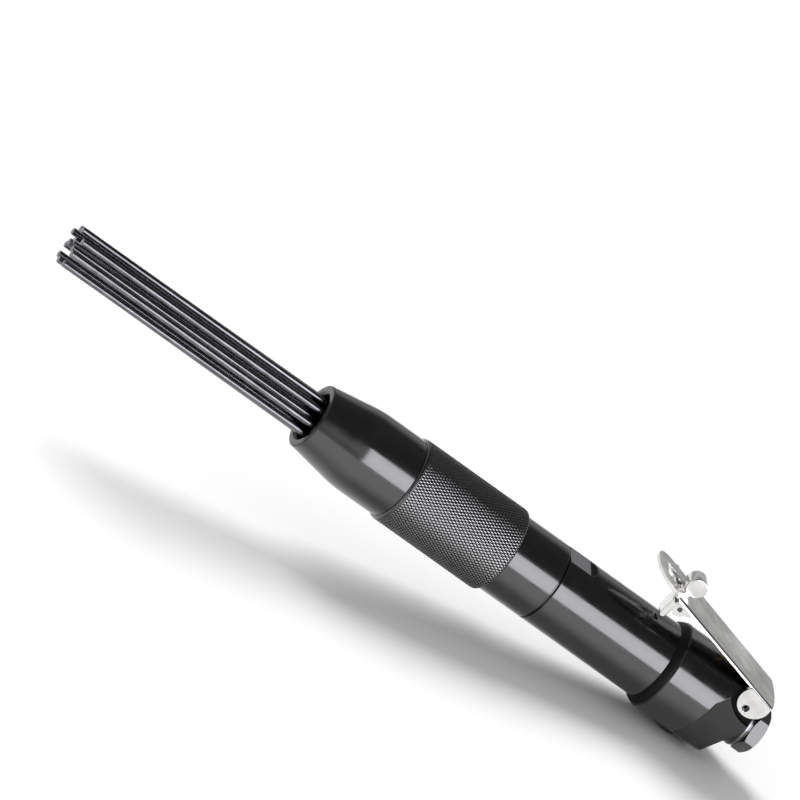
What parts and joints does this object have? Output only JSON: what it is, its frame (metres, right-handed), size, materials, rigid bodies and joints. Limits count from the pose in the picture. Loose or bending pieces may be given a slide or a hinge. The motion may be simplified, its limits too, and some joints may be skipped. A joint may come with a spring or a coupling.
{
  "type": "needle scaler",
  "caption": "Straight pneumatic needle scaler: steel needles in a tapered nose, knurled grip, hammer barrel, throttle lever with a lock-off catch and a threaded air inlet.",
  "frame": {"origin": "centre of the air inlet's mouth, on the tool axis at the rear face of the hexagon", "axes": "+X along the tool axis to the rear, out of the air inlet; needles point to -X; +Z to the lever"},
  "size_m": [0.36, 0.04, 0.0625],
  "materials": {
    "black_steel": "satin black oxide",
    "bright_steel": "bright nickel plate",
    "needle_steel": "hardened drawn wire",
    "plain_steel": "ground",
    "rubber": "matt black",
    "bronze": "turned"
  },
  "bodies": {
    "tool_body": {"nose_sleeve": "black_steel", "front_barrel": "black_steel", "main_barrel": "black_steel", "rear_head": "black_steel", "exhaust_ring": "rubber", "barrel_o_ring": "rubber", "needle_spring": "plain_steel", "spring_washer": "plain_steel", "anvil_bush": "bronze", "anvil_buffer": "rubber", "valve_seat": "plain_steel", "valve_cap": "plain_steel", "valve_pins": "plain_steel", "throttle_bush": "bronze", "stem_o_ring": "rubber", "throttle_spring": "plain_steel", "throttle_plug": "black_steel", "plug_o_ring": "rubber", "lever_pin": "plain_steel", "inlet_bushing": "black_steel", "inlet_seal": "bright_steel", "inlet_screen": "plain_steel"},
    "lever": {"throttle_lever": "bright_steel", "catch_pin": "plain_steel", "catch_spring": "plain_steel"},
    "catch": {"lock_catch": "bright_steel"},
    "throttle_stem": {"throttle_stem": "plain_steel"},
    "hammer": {"hammer": "plain_steel"},
    "anvil": {"anvil": "plain_steel"},
    "valve_disc": {"valve_disc": "plain_steel"},
    "needle_holder": {"needle_holder": "plain_steel"},
    "needle_01": {"needle_01": "needle_steel"},
    "needle_02": {"needle_02": "needle_steel"},
    "needle_03": {"needle_03": "needle_steel"},
    "needle_04": {"needle_04": "needle_steel"},
    "needle_05": {"needle_05": "needle_steel"},
    "needle_06": {"needle_06": "needle_steel"},
    "needle_07": {"needle_07": "needle_steel"},
    "needle_08": {"needle_08": "needle_steel"},
    "needle_09": {"needle_09": "needle_steel"},
    "needle_10": {"needle_10": "needle_steel"},
    "needle_11": {"needle_11": "needle_steel"},
    "needle_12": {"needle_12": "needle_steel"}
  },
  "joints": [
    {"name": "lever_press", "type": "hinge", "parent": "tool_body", "child": "lever", "pos_m": [-0.016, 0, 0.0116], "axis": [0, -1, 0], "range_deg": [0, 5.5], "stiffness_Nm_per_rad": 4, "springref_deg": -5.73},
    {"name": "catch_turn", "type": "hinge", "parent": "lever", "child": "catch", "pos_m": [-0.06599, 0, 0.02988], "axis": [0, -1, 0], "range_deg": [0, 71.6]},
    {"name": "stem_slide", "type": "slide", "parent": "tool_body", "child": "throttle_stem", "axis": [0, 0, -1], "range_m": [0, 0.00172], "deforming": ["throttle_spring"]},
    {"name": "hammer_slide", "type": "slide", "parent": "tool_body", "child": "hammer", "axis": [1, 0, 0], "range_m": [0, 0.0165]},
    {"name": "holder_slide", "type": "slide", "parent": "tool_body", "child": "needle_holder", "axis": [-1, 0, 0], "range_m": [0, 0.006], "stiffness_N_per_m": 2000, "springref_m": -0.01, "deforming": ["needle_spring"]},
    {"name": "anvil_slide", "type": "slide", "parent": "tool_body", "child": "anvil", "axis": [-1, 0, 0], "range_m": [0, 0.006]},
    {"name": "valve_flap", "type": "slide", "parent": "tool_body", "child": "valve_disc", "axis": [-1, 0, 0], "range_m": [0, 0.0015]},
    {"name": "needle_01_slide", "type": "slide", "parent": "needle_holder", "child": "needle_01", "axis": [1, 0, 0], "range_m": [0, 0.005]},
    {"name": "needle_02_slide", "type": "slide", "parent": "needle_holder", "child": "needle_02", "axis": [1, 0, 0], "range_m": [0, 0.005]},
    {"name": "needle_03_slide", "type": "slide", "parent": "needle_holder", "child": "needle_03", "axis": [1, 0, 0], "range_m": [0, 0.005]},
    {"name": "needle_04_slide", "type": "slide", "parent": "needle_holder", "child": "needle_04", "axis": [1, 0, 0], "range_m": [0, 0.005]},
    {"name": "needle_05_slide", "type": "slide", "parent": "needle_holder", "child": "needle_05", "axis": [1, 0, 0], "range_m": [0, 0.005]},
    {"name": "needle_06_slide", "type": "slide", "parent": "needle_holder", "child": "needle_06", "axis": [1, 0, 0], "range_m": [0, 0.005]},
    {"name": "needle_07_slide", "type": "slide", "parent": "needle_holder", "child": "needle_07", "axis": [1, 0, 0], "range_m": [0, 0.005]},
    {"name": "needle_08_slide", "type": "slide", "parent": "needle_holder", "child": "needle_08", "axis": [1, 0, 0], "range_m": [0, 0.005]},
    {"name": "needle_09_slide", "type": "slide", "parent": "needle_holder", "child": "needle_09", "axis": [1, 0, 0], "range_m": [0, 0.005]},
    {"name": "needle_10_slide", "type": "slide", "parent": "needle_holder", "child": "needle_10", "axis": [1, 0, 0], "range_m": [0, 0.005]},
    {"name": "needle_11_slide", "type": "slide", "parent": "needle_holder", "child": "needle_11", "axis": [1, 0, 0], "range_m": [0, 0.005]},
    {"name": "needle_12_slide", "type": "slide", "parent": "needle_holder", "child": "needle_12", "axis": [1, 0, 0], "range_m": [0, 0.005]}
  ],
  "couplings": [
    {"joint": "catch_turn", "follows": "lever_press", "ratio": 13},
    {"joint": "stem_slide", "follows": "lever_press", "m_per_rad": 0.0178},
    {"joint": "anvil_slide", "follows": "holder_slide", "ratio": 1}
  ]
}
